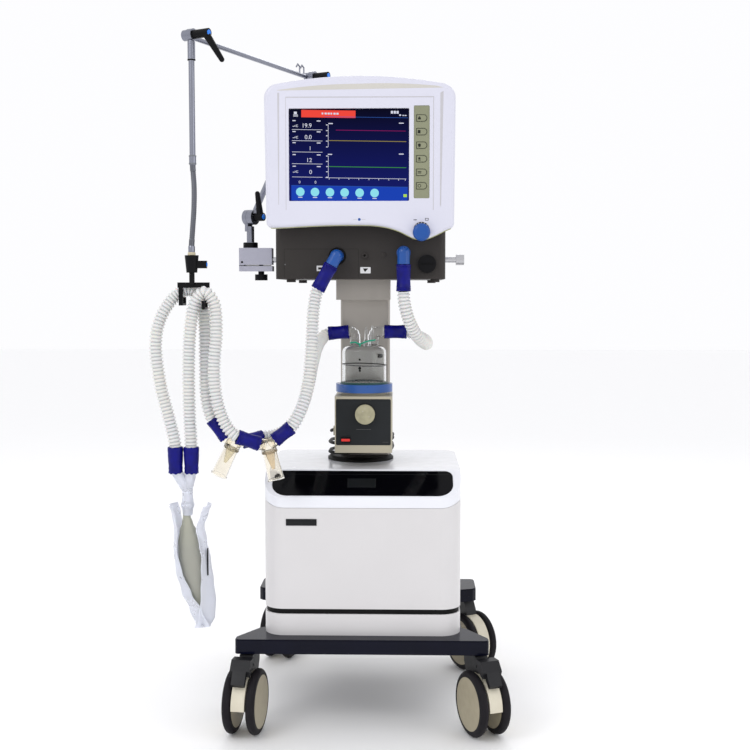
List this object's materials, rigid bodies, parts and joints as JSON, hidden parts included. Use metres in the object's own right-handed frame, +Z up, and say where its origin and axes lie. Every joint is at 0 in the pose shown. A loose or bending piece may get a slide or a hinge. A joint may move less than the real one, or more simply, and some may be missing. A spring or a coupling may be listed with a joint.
{
  "type": "mechanical ventilator",
  "caption": "Hospital ventilator on a wheeled compressor cart, with a display head, heated humidifier, jointed hose arm, breathing circuit and test lung.",
  "frame": {"origin": "on the floor under the middle of the cart chassis", "axes": "+Z up, the screen faces -Y, +X to the right as seen from the front"},
  "size_m": [0.6849, 0.5981, 1.3268],
  "materials": {
    "black_lacquer": "gloss",
    "white_cabinet": "satin",
    "white_gloss": "gloss",
    "black_trim": "matte",
    "black_gloss": "mirror gloss",
    "cast_parts": "as cast",
    "column_metal": "brushed",
    "case_grey": "fine texture",
    "bright_metal": "machined",
    "black_plastic": "fine grain",
    "display_white": "satin",
    "screen_glass": "lit screen",
    "knob_blue": "gloss",
    "key_grey": "satin",
    "heater_grey": "satin",
    "dial_beige": "satin",
    "rocker_red": "gloss",
    "guard_blue": "gloss",
    "clear_chamber": "clear",
    "lead_black": "satin",
    "arm_steel": "satin",
    "elbow_blue": "satin",
    "cuff_navy": "satin",
    "hose_clear": "translucent",
    "trap_clear": "clear",
    "lung_rubber": "satin",
    "fork_plastic": "fine grain",
    "wheel_rubber": "matte"
  },
  "bodies": {
    "root": {"chassis": "black_lacquer", "cabinet_base": "white_cabinet", "groove_band": "black_trim", "cabinet_shell": "white_cabinet", "cabinet_top": "white_gloss", "top_panel": "black_gloss", "air_compressor": "cast_parts", "column_foot": "black_lacquer", "column": "column_metal", "main_case": "case_grey", "gas_module": "bright_metal", "side_rods": "bright_metal", "bezel": "display_white", "display_back": "display_white", "lcd_panel": "screen_glass", "humidifier_case": "heater_grey", "water_chamber": "clear_chamber", "humidifier_lead": "lead_black", "clamp_block": "bright_metal", "port_elbows": "elbow_blue", "circuit_cuffs": "cuff_navy", "hose_port": "hose_clear", "hose_supply": "hose_clear", "hose_humidified": "hose_clear"},
    "caster_front_left": {"fork_front_left": "fork_plastic"},
    "wheels_front_left": {"wheels_front_left": "wheel_rubber"},
    "caster_front_right": {"fork_front_right": "fork_plastic"},
    "wheels_front_right": {"wheels_front_right": "wheel_rubber"},
    "caster_rear_left": {"fork_rear_left": "fork_plastic"},
    "wheels_rear_left": {"wheels_rear_left": "wheel_rubber"},
    "caster_rear_right": {"fork_rear_right": "fork_plastic"},
    "wheels_rear_right": {"wheels_rear_right": "wheel_rubber"},
    "pedal_front_left": {"pedal_front_left": "black_plastic"},
    "pedal_front_right": {"pedal_front_right": "black_plastic"},
    "key_1": {"key_1": "key_grey"},
    "key_2": {"key_2": "key_grey"},
    "key_3": {"key_3": "key_grey"},
    "key_4": {"key_4": "key_grey"},
    "key_5": {"key_5": "key_grey"},
    "key_6": {"key_6": "key_grey"},
    "knob": {"knob": "knob_blue"},
    "dial": {"dial": "dial_beige"},
    "rocker": {"rocker": "rocker_red"},
    "oxygen_cap": {"oxygen_cap": "black_plastic"},
    "clamp_screw": {"clamp_screw": "black_plastic"},
    "guard": {"chamber_guard": "guard_blue"},
    "arm_base": {"arm_post": "arm_steel"},
    "lower_arm": {"lower_tube": "arm_steel"},
    "upper_arm": {"upper_tube": "arm_steel"},
    "drop_arm": {"drop_tube": "arm_steel", "gooseneck": "arm_steel", "hose_hanger": "black_plastic", "hose_limb_left": "hose_clear", "hose_limb_right": "hose_clear", "water_traps": "trap_clear", "wye_piece": "cuff_navy", "test_lung": "lung_rubber"},
    "lever_lower": {"lever_lower": "black_plastic"},
    "lever_middle": {"lever_middle": "black_plastic"},
    "lever_top": {"lever_top": "black_plastic"}
  },
  "joints": [
    {"name": "swivel_front_left", "type": "hinge", "parent": "root", "child": "caster_front_left", "pos_m": [-0.218, -0.195, 0.175], "axis": [0, 0, 1], "continuous": true},
    {"name": "roll_front_left", "type": "hinge", "parent": "caster_front_left", "child": "wheels_front_left", "pos_m": [-0.22329, -0.23263, 0.0625], "axis": [0.9903, -0.1392, 0], "continuous": true},
    {"name": "brake_front_left", "type": "hinge", "parent": "caster_front_left", "child": "pedal_front_left", "pos_m": [-0.22496, -0.24451, 0.138], "axis": [0.9903, -0.1392, 0], "range_deg": [0, 8]},
    {"name": "swivel_front_right", "type": "hinge", "parent": "root", "child": "caster_front_right", "pos_m": [0.218, -0.195, 0.175], "axis": [0, 0, 1], "continuous": true},
    {"name": "roll_front_right", "type": "hinge", "parent": "caster_front_right", "child": "wheels_front_right", "pos_m": [0.23223, -0.23023, 0.0625], "axis": [0.9272, 0.3746, 0], "continuous": true},
    {"name": "brake_front_right", "type": "hinge", "parent": "caster_front_right", "child": "pedal_front_right", "pos_m": [0.23673, -0.24136, 0.138], "axis": [0.9272, 0.3746, 0], "range_deg": [0, 8]},
    {"name": "swivel_rear_left", "type": "hinge", "parent": "root", "child": "caster_rear_left", "pos_m": [-0.213, 0.197, 0.175], "axis": [0, 0, 1], "continuous": true},
    {"name": "roll_rear_left", "type": "hinge", "parent": "caster_rear_left", "child": "wheels_rear_left", "pos_m": [-0.20317, 0.2337, 0.0625], "axis": [-0.9659, 0.2588, 0], "continuous": true},
    {"name": "swivel_rear_right", "type": "hinge", "parent": "root", "child": "caster_rear_right", "pos_m": [0.213, 0.197, 0.175], "axis": [0, 0, 1], "continuous": true},
    {"name": "roll_rear_right", "type": "hinge", "parent": "caster_rear_right", "child": "wheels_rear_right", "pos_m": [0.232, 0.16409, 0.0625], "axis": [0.866, 0.5, 0], "continuous": true},
    {"name": "press_key_1", "type": "slide", "parent": "root", "child": "key_1", "axis": [0, 1, 0], "range_m": [0, 0.0008], "stiffness_N_per_m": 900, "springref_m": -0.0003},
    {"name": "press_key_2", "type": "slide", "parent": "root", "child": "key_2", "axis": [0, 1, 0], "range_m": [0, 0.0008], "stiffness_N_per_m": 900, "springref_m": -0.0003},
    {"name": "press_key_3", "type": "slide", "parent": "root", "child": "key_3", "axis": [0, 1, 0], "range_m": [0, 0.0008], "stiffness_N_per_m": 900, "springref_m": -0.0003},
    {"name": "press_key_4", "type": "slide", "parent": "root", "child": "key_4", "axis": [0, 1, 0], "range_m": [0, 0.0008], "stiffness_N_per_m": 900, "springref_m": -0.0003},
    {"name": "press_key_5", "type": "slide", "parent": "root", "child": "key_5", "axis": [0, 1, 0], "range_m": [0, 0.0008], "stiffness_N_per_m": 900, "springref_m": -0.0003},
    {"name": "press_key_6", "type": "slide", "parent": "root", "child": "key_6", "axis": [0, 1, 0], "range_m": [0, 0.0008], "stiffness_N_per_m": 900, "springref_m": -0.0003},
    {"name": "turn_knob", "type": "hinge", "parent": "root", "child": "knob", "pos_m": [0.1125, -0.205, 0.958], "axis": [0, 1, 0], "continuous": true},
    {"name": "turn_dial", "type": "hinge", "parent": "root", "child": "dial", "pos_m": [0.0035, -0.125, 0.605], "axis": [0, 1, 0], "range_deg": [-135, 135]},
    {"name": "tip_rocker", "type": "hinge", "parent": "root", "child": "rocker", "pos_m": [-0.035, -0.121, 0.554], "axis": [1, 0, 0], "range_deg": [-6, 6]},
    {"name": "press_guard", "type": "slide", "parent": "root", "child": "guard", "axis": [0, 0, -1], "range_m": [0, 0.005], "stiffness_N_per_m": 400, "springref_m": -0.003},
    {"name": "turn_oxygen_cap", "type": "hinge", "parent": "root", "child": "oxygen_cap", "pos_m": [0.124, -0.155, 0.9], "axis": [0, 1, 0], "range_deg": [0, 60]},
    {"name": "turn_clamp_screw", "type": "hinge", "parent": "root", "child": "clamp_screw", "pos_m": [-0.205, -0.085, 0.89], "axis": [0, 0, 1], "range_deg": [0, 360]},
    {"name": "swing_arm", "type": "hinge", "parent": "root", "child": "arm_base", "pos_m": [-0.226, -0.085, 0.94], "axis": [0, 0, 1], "range_deg": [-12, 11], "deforming": ["hose_port", "hose_humidified"]},
    {"name": "tilt_lower_arm", "type": "hinge", "parent": "arm_base", "child": "lower_arm", "pos_m": [-0.226, -0.085, 0.994], "axis": [0.8788, -0.4772, 0], "range_deg": [-3, 5], "deforming": ["hose_port", "hose_humidified"]},
    {"name": "tilt_upper_arm", "type": "hinge", "parent": "lower_arm", "child": "upper_arm", "pos_m": [-0.12007, 0.1101, 1.303], "axis": [-0.8788, 0.4772, 0], "range_deg": [-2.5, 2.5], "deforming": ["hose_port", "hose_humidified"]},
    {"name": "tilt_drop_tube", "type": "hinge", "parent": "upper_arm", "child": "drop_arm", "pos_m": [-0.31475, -0.24846, 1.315], "axis": [0.8788, -0.4772, 0], "range_deg": [-2, 5], "deforming": ["hose_port", "hose_humidified"]},
    {"name": "turn_lever_lower", "type": "hinge", "parent": "arm_base", "child": "lever_lower", "pos_m": [-0.226, -0.085, 0.994], "axis": [0.8788, -0.4772, 0], "range_deg": [0, 75]},
    {"name": "turn_lever_middle", "type": "hinge", "parent": "lower_arm", "child": "lever_middle", "pos_m": [-0.12007, 0.1101, 1.303], "axis": [0.8788, -0.4772, 0], "range_deg": [0, 75]},
    {"name": "turn_lever_top", "type": "hinge", "parent": "drop_arm", "child": "lever_top", "pos_m": [-0.31475, -0.24846, 1.315], "axis": [0.8788, -0.4772, 0], "range_deg": [0, 75]}
  ]
}
